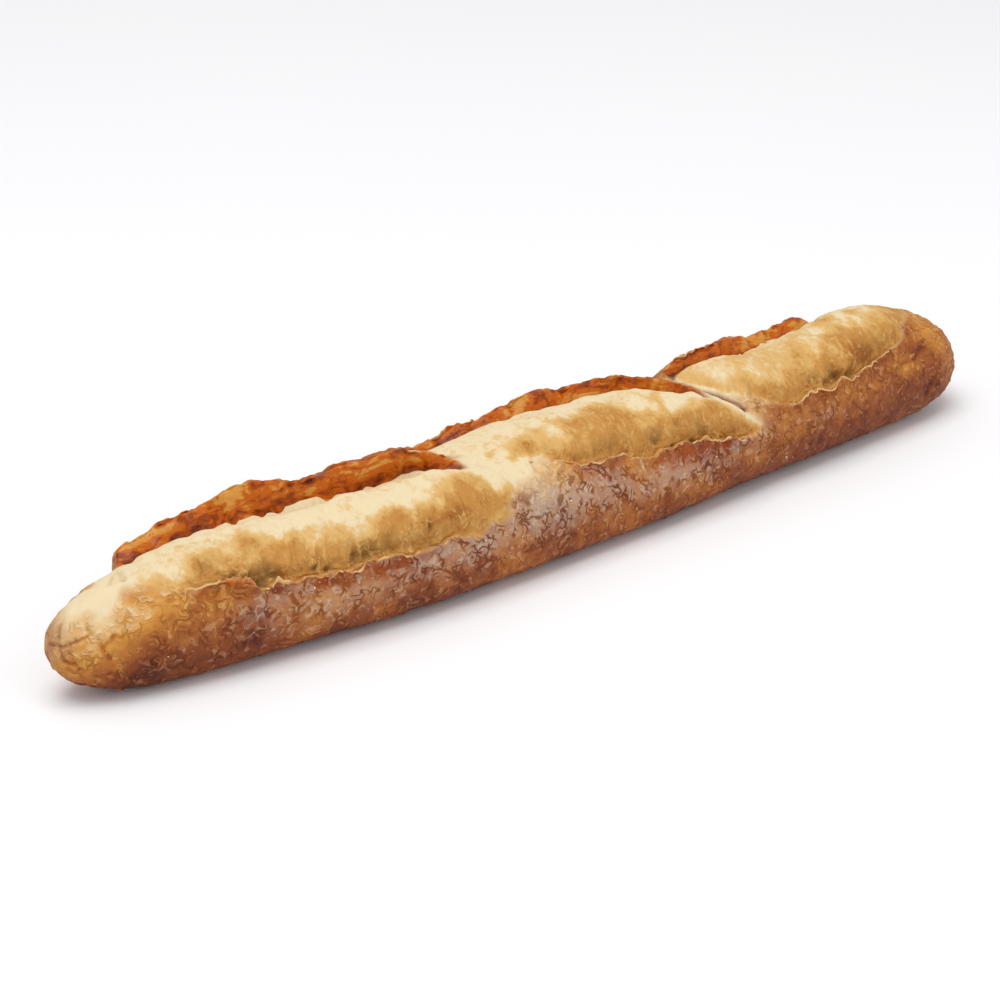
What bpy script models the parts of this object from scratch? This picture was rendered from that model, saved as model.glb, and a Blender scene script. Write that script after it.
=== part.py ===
"""A baguette with three long cuts that opened in the oven.

One solid, in metres, +Z up, lying along X on its flat base. Its front is -Y.
The loaf is a sphere primitive whose rings are laid out as cross-sections along X. Each cut is a
pointed, slanting opening in the top: a torn lip at the front, the swollen bloom behind it, a deep
groove, and at the back the ear, a thin flap of crust that stands up.
A point on the crust has two coordinates: x, and q, its distance round the section from the ridge,
which is negative at the front and positive at the back.
"""

from dataclasses import dataclass

import bmesh
import bpy
import numpy as np
from mathutils import Vector, noise

MM = 0.001

# The uncut loaf
LENGTH = 560 * MM
WIDTH = 71 * MM
HEIGHT = 57.5 * MM
WIDEST_AT = 0.42  # share of the section's height
BOW = 9 * MM  # how far the middle bends towards the front
SIDE_TAPER = 0.06  # share of the width lost from the middle to the ends
TOP_TAPER = 0.05
SECTION_SIDE = 2.3  # superellipse powers of the section: 2 is round, more is squarer
SECTION_TOP = 2.1
SECTION_BASE = 2.7
SECTION_MIDDLE = 1.2  # added to the base's power where the dough spread, left of the middle
BASE_CUT_OFF = 1.5 * MM  # the section reaches this far under the base, which is cut flat


@dataclass
class End:
    """How one end of the loaf closes: high powers make it blunt, and the nose is its tip."""

    plan_power: float
    top_power: float
    base_power: float
    nose: float


LEFT_END = End(plan_power=3.6, top_power=9, base_power=14, nose=27 * MM)
RIGHT_END = End(plan_power=28, top_power=21, base_power=13, nose=24 * MM)


@dataclass
class Cut:
    """One opening. Along it runs s, from -1 at its left tip to 1 at its right tip.

    The path, ear and swell are given in mm at even steps of s, and run smoothly through them.
    The ear itself starts and ends more sharply, at the x in mm that ear_span gives.
    """

    middle: float  # x of its middle
    reach: float  # from its middle to a tip, along x
    half_width: float
    fullness: float  # power that squares its outline
    sharpness: float  # power that draws its tips out
    path: tuple  # q of its centre line
    ear: tuple  # height of the ear
    ear_span: tuple
    swell: tuple  # height of the bloom
    seed: float


CUTS = (
    Cut(
        middle=-152 * MM,
        reach=103 * MM,
        half_width=25.5 * MM,
        fullness=4,
        sharpness=0.65,
        path=(1, 1, -8, -16, -18, -20, -27),
        ear=(0, 7, 10.2, 10, 10.6, 12, 10, 7.6, 10, 12, 8.5, 1.5, 0),
        ear_span=(-236, -68),
        swell=(1, 2, 3, 3, 3, 3, 1),
        seed=3.1,
    ),
    Cut(
        middle=8 * MM,
        reach=104 * MM,
        half_width=29 * MM,
        fullness=2.5,
        sharpness=1.1,
        path=(32, 16, 4, -3, -9, -24, -42),
        ear=(2, 7, 11, 11.2, 11.5, 11.8, 11.8, 11.2, 9.8, 8, 2, 0.5, 0),
        ear_span=(-84, 80),
        swell=(1, 3, 5, 5, 5, 4, 1),
        seed=17.7,
    ),
    Cut(
        middle=170 * MM,
        reach=92 * MM,
        half_width=27 * MM,
        fullness=3,
        sharpness=0.8,
        path=(8, -5, -9, -7, -5, 0, 5),
        ear=(5, 7.5, 9, 9.4, 6.4, 4.5, 5.5, 6.5, 4, 3, 3, 2.5, 0),
        ear_span=(82, 199),
        swell=(1, 2, 2.5, 4, 7, 6, 1),
        seed=41.3,
    ),
)

# Across a cut, from its front edge to behind its ear
LIP_RISE = 1.2 * MM
LIP_REACH = 6 * MM  # how far in front of the lip the crust lifts
LIP_WIDTH = 2.4 * MM
POCKET_DEPTH = 1.8 * MM
POCKET_WIDTH = 5 * MM
GROOVE_DEPTH = 6 * MM
GROOVE_FROM_EAR = 6.5 * MM
GROOVE_WIDTH = 3.6 * MM
EAR_FACE = 4 * MM  # run of the ear's inner face
EAR_RIM = 1.6 * MM
EAR_BACK = 17 * MM  # run of the ear's outer face
EAR_LEAN = -0.22  # share of its height by which the rim leans to the front
WAIST = 2.5 * MM  # how far the crust between two cuts stays back

# Unevenness
LIP_WANDER = 3 * MM
EAR_WANDER = 2 * MM
EAR_RAGGED = 0.1  # share of the ear's height
EAR_START = 3 * MM  # run over which an ear rises at its left end
EAR_END = 7 * MM  # and sinks at its right end
LUMP_SIZE = 70 * MM
LUMP_HEIGHT = 1.6 * MM

# Mesh
RINGS = 190
LINES = 120
PROFILE_POINTS = 900
TOP_SHARE = 2.2  # how much closer the lines lie on the top than on the base
TRIANGLES = 9400


def smooth(start, end, value):
    """0 before start and 1 after end, with an even curve between."""
    t = np.clip((value - start) / (end - start), 0, 1)
    return t * t * (3 - 2 * t)


def hump(value, width):
    return np.exp(-((value / width) ** 2))


def power(value, exponent):
    return np.sign(value) * np.abs(value) ** exponent


def wander(x, wavelength, seed):
    """Smooth, even noise along x, within about -1 and 1."""
    at = Vector((x / wavelength, seed, 0.37))
    return 1.6 * noise.noise(at) + 0.8 * noise.noise(at * 2.7)


def through(heights, s):
    """The smooth curve through heights given at even steps of s from -1 to 1."""
    place = (s + 1) / 2 * (len(heights) - 1)
    step = min(int(place), len(heights) - 2)
    t = place - step
    before, low, high, after = (heights[max(min(step + n, len(heights) - 1), 0)] for n in (-1, 0, 1, 2))
    curve = (2 * before - 5 * low + 4 * high - after) * t + (3 * (low - high) + after - before) * t * t
    return (low + 0.5 * t * (high - before + curve)) * MM


def section(x):
    """(y, z) of the uncut loaf at x, from the base's middle round the front, top and back."""
    t = x / (LENGTH / 2)
    end = LEFT_END if t < 0 else RIGHT_END
    waist = sum(0.5 - hump(x - cut.middle, 0.62 * cut.reach) for cut in CUTS) - 0.5
    half = WIDTH / 2 * (1 - SIDE_TAPER * t * t) * max(1 - abs(t) ** end.plan_power, 0) ** 0.5
    top_close = max(1 - abs(t) ** end.top_power, 0) ** 0.5
    base_close = max(1 - abs(t) ** end.base_power, 0) ** 0.5
    height = HEIGHT * (1 - TOP_TAPER * t * t) - WAIST * waist
    top = end.nose + (height - end.nose) * top_close
    base = end.nose - (end.nose + BASE_CUT_OFF) * base_close
    widest = base + WIDEST_AT * (top - base)
    turn = np.linspace(0, 2 * np.pi, PROFILE_POINTS)
    y = -half * power(np.sin(turn), 2 / SECTION_SIDE) - BOW * (1 - t * t) ** 1.5
    up = -np.cos(turn)
    above = (top - widest) * np.abs(up) ** (2 / SECTION_TOP)
    below = (widest - base) * np.abs(up) ** (2 / (SECTION_BASE + SECTION_MIDDLE * hump(t + 0.15, 0.4)))
    z = widest + np.where(up > 0, above, -below)
    return y, z


def cut_edges(cut, x):
    """(s, q of the lip, q of the ear's rim) of a cut at x."""
    s = (x - cut.middle) / cut.reach
    centre = through(cut.path, np.clip(s, -1, 1))
    half = cut.half_width * max(1 - abs(s) ** cut.fullness, 0) ** cut.sharpness
    share = half / cut.half_width
    lip = centre - half + share * LIP_WANDER * wander(x, 26 * MM, cut.seed)
    rim = centre + half + share * EAR_WANDER * wander(x, 30 * MM, cut.seed + 5)
    return s, lip, rim


def cut_relief(cut, x, q):
    """(lift, shift): how far the cut moves the crust outwards, and round the section."""
    s, lip, rim = cut_edges(cut, x)
    if abs(s) >= 1:
        return 0 * q, 0 * q
    open_here = 1 - abs(s) ** 5
    inside = q - lip
    beyond = q - rim
    width = max(rim - lip, MM)
    across = np.clip(inside / width, 0, 1)
    in_cut = smooth(0, LIP_WIDTH, inside) * (1 - smooth(-EAR_FACE, 0, beyond))

    lift_lip = LIP_RISE * np.where(inside < 0, np.exp(inside / LIP_REACH), hump(inside, LIP_WIDTH))
    pocket = -POCKET_DEPTH * hump(inside - 0.6 * POCKET_WIDTH, 0.5 * POCKET_WIDTH)
    bloom = through(cut.swell, s) * np.sin(np.pi * across**1.2) ** 0.8
    groove = -GROOVE_DEPTH * hump(beyond + GROOVE_FROM_EAR, GROOVE_WIDTH)
    narrow = smooth(0, 4 * GROOVE_WIDTH, width)

    start, stop = (end * MM for end in cut.ear_span)
    whole = smooth(start - EAR_START, start + EAR_START, x) * (1 - smooth(stop - EAR_END, stop + EAR_END, x))
    ragged = 1 + EAR_RAGGED * wander(x, 17 * MM, cut.seed + 9)
    height = through(cut.ear, s) * whole * ragged
    flap = smooth(-EAR_FACE, 0, beyond) * (1 - smooth(EAR_RIM, EAR_RIM + EAR_BACK, beyond) ** 0.75)
    lift = open_here * (lift_lip + in_cut * (pocket * narrow + bloom) + groove * narrow) + height * flap
    return lift, EAR_LEAN * height * flap


def ring(x):
    """LINES points of the cut loaf's section at x, closest where the crust is most broken."""
    y, z = section(x)
    step = np.hypot(np.diff(y), np.diff(z))
    along = np.concatenate([[0], np.cumsum(step)])
    q = along - np.interp(0.5, np.linspace(0, 1, PROFILE_POINTS), along)
    slope_y = np.gradient(y, along + np.arange(PROFILE_POINTS) * 1e-9)
    slope_z = np.gradient(z, along + np.arange(PROFILE_POINTS) * 1e-9)
    size = np.maximum(np.hypot(slope_y, slope_z), 1e-9)
    slope_y, slope_z = slope_y / size, slope_z / size
    lift, shift = 0 * q, 0 * q
    for cut in CUTS:
        more_lift, more_shift = cut_relief(cut, x, q)
        lift += more_lift
        shift += more_shift
    y = y - slope_z * lift + slope_y * shift
    z = z + slope_y * lift + slope_z * shift
    finer = 1 + TOP_SHARE * hump(q, 0.32 * max(along[-1], MM))
    run = np.concatenate([[0], np.cumsum(np.hypot(np.diff(y), np.diff(z)) * finer[1:])])
    even = np.linspace(0, run[-1], LINES, endpoint=False)
    return np.interp(even, run, y), np.interp(even, run, z)


def lumps(point):
    """Slow unevenness of hand-shaped dough."""
    return LUMP_HEIGHT * noise.noise(Vector(point) / LUMP_SIZE)


def shape_loaf(mesh):
    """Lays the sphere's rings out as the loaf's sections, and centres the loaf over its base."""
    for vert in mesh.verts:
        # The poles are the two noses, and the sphere's seam is the middle of the base.
        turn = np.arccos(np.clip(vert.co.z, -1, 1)) / np.pi
        vert.co = Vector((turn, (np.arctan2(vert.co.y, vert.co.x) / (2 * np.pi)) % 1, 0))
    rings = {}
    for vert in mesh.verts:
        number = round(vert.co.x * RINGS)
        x = -LENGTH / 2 * np.cos(np.pi * number / RINGS)
        x = 0.6 * x + 0.4 * LENGTH * (number / RINGS - 0.5)
        if number not in rings:
            rings[number] = ring(x)
        line = round(vert.co.y * LINES) % LINES
        y, z = rings[number]
        vert.co = Vector((x, y[line], z[line]))
    mesh.normal_update()
    moves = [vert.normal * lumps(vert.co) for vert in mesh.verts]
    for vert, move in zip(mesh.verts, moves):
        vert.co += move
        vert.co.z = max(vert.co.z, 0)
    low = [min(vert.co[axis] for vert in mesh.verts) for axis in range(2)]
    high = [max(vert.co[axis] for vert in mesh.verts) for axis in range(2)]
    middle = Vector(((low[0] + high[0]) / 2, (low[1] + high[1]) / 2, 0))
    bmesh.ops.translate(mesh, verts=mesh.verts, vec=-middle)


def crust_material():
    material = bpy.data.materials.new("crust")
    material.use_nodes = True
    shader = material.node_tree.nodes["Principled BSDF"]
    shader.inputs["Base Color"].default_value = (0.53, 0.27, 0.10, 1)
    shader.inputs["Roughness"].default_value = 0.6
    shader.inputs["Metallic"].default_value = 0
    return material


def make_baguette(collection):
    mesh = bmesh.new()
    bmesh.ops.create_uvsphere(mesh, u_segments=LINES, v_segments=RINGS, radius=1)
    shape_loaf(mesh)
    data = bpy.data.meshes.new("baguette")
    mesh.to_mesh(data)
    mesh.free()
    data.shade_smooth()
    data.materials.append(crust_material())
    loaf = bpy.data.objects.new("baguette", data)
    collection.objects.link(loaf)
    thin = loaf.modifiers.new("Fewer faces", "DECIMATE")
    thin.decimate_type = "COLLAPSE"
    thin.use_collapse_triangulate = True
    thin.ratio = TRIANGLES / (2 * LINES * (RINGS - 1))
    return loaf


def main():
    for thing in list(bpy.data.objects):
        bpy.data.objects.remove(thing)
    collection = bpy.data.collections.new("Baguette")
    bpy.context.scene.collection.children.link(collection)
    make_baguette(collection)


main()
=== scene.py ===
"""Baguette: the finish of a long crusty loaf with three slanting cuts that opened in the oven.

The loaf lies along X with its front at -Y. A point on it has two coordinates: x, and q, the distance
round the section from the ridge, which is negative at the front and positive at the back.
The crust is one closed mesh. The torn crumb of each cut is a sheet set into it, and thin flakes stand
along the torn lips and the ears.
"""

import math
from dataclasses import dataclass
from functools import partial

import bmesh
import bpy
import numpy as np
from bpy.props import FloatProperty, FloatVectorProperty, PointerProperty
from mathutils import Matrix, Vector, noise


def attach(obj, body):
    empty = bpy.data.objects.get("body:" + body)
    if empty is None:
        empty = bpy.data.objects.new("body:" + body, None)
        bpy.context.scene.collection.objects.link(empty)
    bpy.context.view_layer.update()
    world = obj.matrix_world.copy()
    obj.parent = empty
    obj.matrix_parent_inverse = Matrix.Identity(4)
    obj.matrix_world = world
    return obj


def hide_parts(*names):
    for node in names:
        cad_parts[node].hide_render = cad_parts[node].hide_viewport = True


bl_info = {
    "name": "Baguette finish",
    "version": (1, 0, 0),
    "blender": (4, 5, 0),
    "location": "3D View > Sidebar > Baguette",
    "description": "Crust, torn crumb, flakes and flour of a baguette, and its stage",
    "category": "Mesh",
}

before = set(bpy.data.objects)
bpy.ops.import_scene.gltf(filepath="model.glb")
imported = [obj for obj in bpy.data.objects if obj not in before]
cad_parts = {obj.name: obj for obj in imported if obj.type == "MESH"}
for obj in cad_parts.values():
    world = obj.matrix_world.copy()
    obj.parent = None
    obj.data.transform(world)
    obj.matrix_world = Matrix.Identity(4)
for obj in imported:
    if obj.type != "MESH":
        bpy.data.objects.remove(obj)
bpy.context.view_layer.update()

MM = 0.001
NODE = "baguette"


# ---------------- settings


def number(name, description, default, **kind):
    return FloatProperty(name=name, description=description, default=default, **kind)


length = partial(number, unit="LENGTH", precision=4)
share = partial(number, subtype="FACTOR")
angle = partial(number, subtype="ANGLE")
power_of = partial(number, unit="POWER")


def colour(name, description, code):
    """A colour setting whose default is a six-figure hex code."""
    parts = [int(code[place : place + 2], 16) / 255 for place in (0, 2, 4)]
    linear = [part / 12.92 if part < 0.04045 else ((part + 0.055) / 1.055) ** 2.4 for part in parts]
    return FloatVectorProperty(
        name=name, description=description, default=linear, subtype="COLOR", min=0, max=1
    )


class LoafSizes(bpy.types.PropertyGroup):
    """The uncut loaf and the openings in it."""

    long: length("Length", "From nose to nose", 560 * MM)
    wide: length("Width", "At the middle, without the ears", 71 * MM)
    high: length("Height", "At the middle, without the ears", 57.5 * MM)
    bow: length("Bow", "How far the middle bends to the front", 9 * MM)
    lump: length("Lumps", "Slow unevenness of the dough", 1.6 * MM)
    lip_rise: length("Lip rise", "How far the crust lifts at a torn lip", 1.2 * MM)
    pocket: length("Pockets", "Depth of the hollow behind a lip", 1.8 * MM)
    groove: length("Groove", "Depth of the fold at the foot of an ear", 6 * MM)
    blister: length("Blisters", "Height of the skin's blisters", 0.4 * MM)
    strand: length("Strands", "Height of the torn crumb's strands", 1.0 * MM)
    ear_fold: length("Ear folds", "Depth of the folds in an ear's inner face", 1.8 * MM)


class CrustLook(bpy.types.PropertyGroup):
    """Colours of the baked skin."""

    pale: colour("Pale", "Crust that barely browned", "E6C28C")
    golden: colour("Golden", "Lightly baked crust", "D0913F")
    tan: colour("Tan", "Baked crust", "B06B2C")
    brown: colour("Brown", "Well baked crust", "8A451C")
    # Dark also paints the shade at the loaf's foot.
    dark: colour("Dark", "Deep cracks and the loaf's foot", "552410")
    flour: colour("Flour", "Flour baked onto the skin", "C7B8AB")
    roughness: share("Roughness", "Of bare crust", 0.5)
    gloss: share("Gloss", "Strength of the skin's sheen", 0.2)


class EarLook(bpy.types.PropertyGroup):
    """Colours of the ears and the torn edges."""

    glow: colour("Glow", "Thin crust that light shines into", "BF5E06")
    amber: colour("Amber", "Inner face of an ear", "943F08")
    # Burnt also paints the shade at the foot of an ear.
    burnt: colour("Burnt", "Folds and tips that caught the heat", "5A2109")
    # Straw also paints highlights near the rim of an ear.
    straw: colour("Straw", "Pale torn folds", "D0903C")
    edge: colour("Torn edge", "The thin pale edge of a lip", "E0B67A")


class CrumbLook(bpy.types.PropertyGroup):
    """Colours of the bloom inside a cut."""

    cream: colour("Cream", "The top of the bloom", "E5D2AB")
    honey: colour("Honey", "Where the bloom begins to brown", "D8AD68")
    gold: colour("Gold", "The browned side of the bloom", "C08842")
    toast: colour("Toast", "Where the bloom browned most", "9A5A22")
    # Olive is the painted shade of the pockets and pits.
    olive: colour("Olive", "Shaded hollows", "7E5E30")


class StageLook(bpy.types.PropertyGroup):
    """Floor, lights and camera."""

    floor: colour("Floor", "Colour of the floor", "F6F6F8")
    key: power_of("Key", "Power of the large soft light", 60)
    fill: power_of("Fill", "Power of the light at the front", 4)
    sky: number("Sky", "Strength of the even light all round", 0.62)
    turn: angle("Turn", "Camera's angle round the loaf", math.radians(-40.9))
    rise: angle("Rise", "Camera's angle above the floor", math.radians(24))
    away: length("Away", "From the camera to the point it looks at", 1.202)
    lens: number("Lens", "Focal length in mm", 90.8)


# ---------------- the loaf's form

CENTRE_SHIFT = 6.01 * MM  # brings the bowed loaf back over the middle of its base
WIDEST_AT = 0.42
SIDE_TAPER = 0.06
TOP_TAPER = 0.05
SECTION_SIDE = 2.3  # powers of the section's curves
SECTION_TOP = 2.1
SECTION_BASE = 2.7
SECTION_MIDDLE = 1.2
BASE_CUT_OFF = 1.5 * MM
WAIST = 2.5 * MM  # how much lower the loaf is between two cuts
LUMP_SIZE = 70 * MM
PLAN_POWERS = (3.6, 28)  # how the left and the right end close: high powers make them blunt
TOP_POWERS = (9, 21)
BASE_POWERS = (14, 13)
NOSES = (27 * MM, 24 * MM)  # height of the left and the right tip
PROFILE_POINTS = 700
END_POINTS = 4000

LIP_REACH = 6 * MM
LIP_WIDTH = 2.4 * MM
LIP_WALL = 0.9 * MM  # run of the torn lip's face
LIP_WANDER = 3 * MM
TEAR = 1.0 * MM  # how far the torn lip strays over short distances
POCKET_WIDTH = 5 * MM
GROOVE_FROM_EAR = 6.5 * MM
GROOVE_WIDTH = 3.6 * MM
EAR_FACE = 4 * MM
EAR_RIM = 1.6 * MM
EAR_BACK = 17 * MM
EAR_LEAN = -0.22
EAR_WANDER = 2 * MM
EAR_RAGGED = 0.1
EAR_START = 3 * MM  # run over which an ear rises at its left end
EAR_END = 7 * MM  # and sinks at its right end
CREST = 0.6 * MM  # height of the small waves on an ear's rim
CRUST_UNDER = 4.5 * MM  # the crust's floor lies this far under the crumb's sheet
CLOSED_OVER = 7 * MM  # run of crumb that the crust covers where no ear stands

RINGS = 560
LINES = 176
TOP_SHARE = 0.9  # how much closer the crust's lines lie on the top than on the base
LIP_SHARE = 2.2  # and along the lips
RIM_SHARE = 2.2  # and along the ears


@dataclass
class Cut:
    """One opening. Along it runs s, from -1 at its left tip to 1 at its right tip.

    The tuples hold values at even steps of s and are read as smooth curves. Path, ear, swell and
    frill are in mm, and opened, gold and hollow are shares.
    """

    name: str
    middle: float
    reach: float
    half_width: float
    fullness: float
    sharpness: float
    path: tuple  # q of its centre line
    ear: tuple  # height of the ear
    ear_span: tuple  # x in mm where the ear starts and ends, both sharply
    swell: tuple  # height of the bloom
    opened: tuple  # 0 where the skin only stretched, and 1 where it tore and left a lip
    frill: tuple  # height of the flakes that stand on the lip
    gold: tuple  # share of the width, from the lip, that browned
    warmth: float  # how browned the rest is
    # hollow also sets the painted olive shade in those pockets.
    hollow: tuple  # how open the pockets behind the lip are
    seed: float


CUTS = (
    Cut(
        name="left",
        middle=-152 * MM, reach=103 * MM, half_width=25.5 * MM, fullness=4, sharpness=0.65,
        path=(1, 1, -8, -16, -18, -20, -27),
        ear=(0, 7, 10.2, 10, 10.6, 12, 10, 7.6, 10, 12, 8.5, 1.5, 0),
        ear_span=(-233, -68),
        swell=(1, 1, 0.5, 0.7, 2, 6, 1.5),
        opened=(0, 0, 0.5, 1, 1, 0.9, 1, 1, 0.9, 0.8, 0.5, 0, 0),
        frill=(0, 0, 1.2, 2.6, 2.8, 1.0, 2.2, 2.0, 0.8, 0.2, 0.3, 0.4, 0),
        gold=(0, 0.05, 0.18, 0.34, 0.38, 0.36, 0.34, 0.38, 0.4, 0.46, 0.52, 0.5, 0.36),
        warmth=0,
        hollow=(0, 0, 0.3, 1, 0.9, 0.3, 0.6, 0.6, 0.3, 0.15, 0.1, 0.1, 0),
        seed=3.1,
    ),
    Cut(
        name="middle",
        middle=8 * MM, reach=104 * MM, half_width=29 * MM, fullness=2.5, sharpness=1.1,
        path=(32, 16, 4, -3, -9, -24, -42),
        ear=(2, 7, 11, 11.2, 11.5, 11.8, 11.8, 11.2, 9.8, 8, 2.6, 1.6, 0),
        ear_span=(-84, 84),
        swell=(1, 3, 5, 5, 5, 4, 1),
        opened=(0, 0, 0, 0, 0.5, 0.9, 1, 1, 1, 1, 1, 0.9, 0),
        frill=(0, 0, 0, 0, 0.2, 1.2, 0.6, 1.4, 1.4, 2.4, 3, 1, 0),
        gold=(0, 0, 0, 0.05, 0.22, 0.34, 0.4, 0.43, 0.46, 0.5, 0.56, 0.6, 0.5),
        warmth=0.08,
        hollow=(0, 0, 0, 0, 0, 0.5, 0.4, 0.7, 0.7, 0.8, 0.3, 0, 0),
        seed=17.7,
    ),
    Cut(
        name="right",
        middle=170 * MM, reach=92 * MM, half_width=27 * MM, fullness=3, sharpness=0.8,
        path=(8, -5, -9, -7, -5, 0, 5),
        ear=(3.6, 6.8, 8.6, 9.4, 6.6, 4.5, 5.5, 6.5, 4, 3, 3, 2.5, 0),
        ear_span=(79, 199),
        swell=(13, 8.5, 1.4, 3, 7, 6, 1),
        opened=(0, 0, 0, 0.5, 0.8, 1, 1, 1, 1, 0.9, 0.5, 0.1, 0),
        frill=(0, 0, 0.4, 1, 1, 2.4, 1.2, 0.8, 0.7, 0.7, 0.6, 0.3, 0),
        gold=(0, 0.05, 0.15, 0.25, 0.28, 0.33, 0.42, 0.5, 0.5, 0.44, 0.4, 0.4, 0.4),
        warmth=0.26,
        hollow=(0, 0, 0.2, 0.4, 0.3, 0.4, 0.7, 0.8, 0.5, 0.2, 0.1, 0, 0),
        seed=41.3,
    ),
)


def smooth(start, end, value):
    """0 before start and 1 after end, with an even curve between."""
    t = np.clip((value - start) / (end - start), 0, 1)
    return t * t * (3 - 2 * t)


def hump(value, width):
    return np.exp(-((value / width) ** 2))


def power(value, exponent):
    return np.sign(value) * np.abs(value) ** exponent


def running_length(*coordinates):
    """The distance along each row of points, from its first point."""
    step = np.sqrt(sum(np.diff(values, axis=-1) ** 2 for values in coordinates))
    return np.concatenate([0 * step[..., :1], np.cumsum(step + 1e-9, axis=-1)], axis=-1)


def wander(x, wavelength, seed):
    """Smooth, even noise along x, within about -1 and 1. The wavelength is in mm."""
    values = [
        1.6 * noise.noise((at, seed, 0.37)) + 0.8 * noise.noise((2.7 * at, 2.7 * seed, 1))
        for at in np.ravel(x) / (wavelength * MM)
    ]
    return np.reshape(values, np.shape(x))


def grain(x, q, wide, tall, seed):
    """Even noise over the surface, with spots that are so many mm wide along x and tall along q."""
    across, down = np.broadcast_arrays(x / (wide * MM), q / (tall * MM))
    places = zip(across.ravel().tolist(), down.ravel().tolist())
    return np.reshape([2 * noise.noise((*place, seed)) for place in places], across.shape)


def through(heights, s):
    """The smooth curve through heights given at even steps of s from -1 to 1."""
    heights = np.array(heights, float)
    place = (s + 1) / 2 * (len(heights) - 1)
    step = np.clip(place.astype(int), 0, len(heights) - 2)
    t = place - step
    before, low, high, after = (heights[np.clip(step + n, 0, len(heights) - 1)] for n in (-1, 0, 1, 2))
    curve = (2 * before - 5 * low + 4 * high - after) * t + (3 * (low - high) + after - before) * t * t
    return low + 0.5 * t * (high - before + curve)


def outline(sizes, x):
    """(t, half width, top, base) of the uncut loaf at x."""
    t = x / (sizes.long / 2)
    waist = sum(0.5 - hump(x - cut.middle, 0.62 * cut.reach) for cut in CUTS) - 0.5

    def close(powers):
        return np.maximum(1 - np.abs(t) ** np.where(t < 0, *powers), 0) ** 0.5

    nose = np.where(t < 0, *NOSES)
    half = sizes.wide / 2 * (1 - SIDE_TAPER * t * t) * close(PLAN_POWERS)
    height = sizes.high * (1 - TOP_TAPER * t * t) - WAIST * waist
    top = nose + (height - nose) * close(TOP_POWERS)
    base = nose - (nose + BASE_CUT_OFF) * close(BASE_POWERS)
    return t, half, top, base


class Skin:
    """The uncut loaf's surface at some xs, read by q."""

    def __init__(self, sizes, xs):
        self.sizes = sizes
        self.xs = np.asarray(xs, float)
        t, half, top, base = (value[:, None] for value in outline(sizes, self.xs))
        widest = base + WIDEST_AT * (top - base)
        turn = np.linspace(0, 2 * np.pi, PROFILE_POINTS)[None, :]
        bow = sizes.bow * np.maximum(1 - t * t, 0) ** 1.5
        self.y = -half * power(np.sin(turn), 2 / SECTION_SIDE) - bow
        up = -np.cos(turn)
        above = (top - widest) * np.abs(up) ** (2 / SECTION_TOP)
        squarish = SECTION_BASE + SECTION_MIDDLE * hump(t + 0.15, 0.4)
        below = (widest - base) * np.abs(up) ** (2 / squarish)
        self.z = widest + np.where(up > 0, above, -below)
        run = running_length(self.y, self.z)
        middle = (PROFILE_POINTS - 1) / 2
        ridge = (run[:, math.floor(middle)] + run[:, math.ceil(middle)]) / 2
        self.q = run - ridge[:, None]
        slopes = (map(np.gradient, rows, self.q) for rows in (self.y, self.z))
        slope_y, slope_z = (np.array(list(rows)) for rows in slopes)
        size = np.maximum(np.hypot(slope_y, slope_z), 1e-9)
        self.slope_y, self.slope_z = slope_y / size, slope_z / size

    def place(self, q, lift, shift):
        """Points at q, one row for each x, moved outwards by lift and round the section by shift."""

        def read(table):
            return np.array([np.interp(at, known, row) for at, known, row in zip(q, self.q, table)])

        y, z, slope_y, slope_z = (read(table) for table in (self.y, self.z, self.slope_y, self.slope_z))
        x = np.broadcast_to(self.xs[:, None], y.shape)
        places = (np.stack([x, y, z], axis=-1) / LUMP_SIZE).reshape(-1, 3).tolist()
        lumps = [noise.noise(place) for place in places]
        out = lift + self.sizes.lump * np.reshape(lumps, y.shape)
        placed_y = y - slope_z * out + slope_y * shift + CENTRE_SHIFT
        placed_z = np.maximum(z + slope_y * out + slope_z * shift, 0)
        return np.stack([x, placed_y, placed_z], axis=-1)


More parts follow.
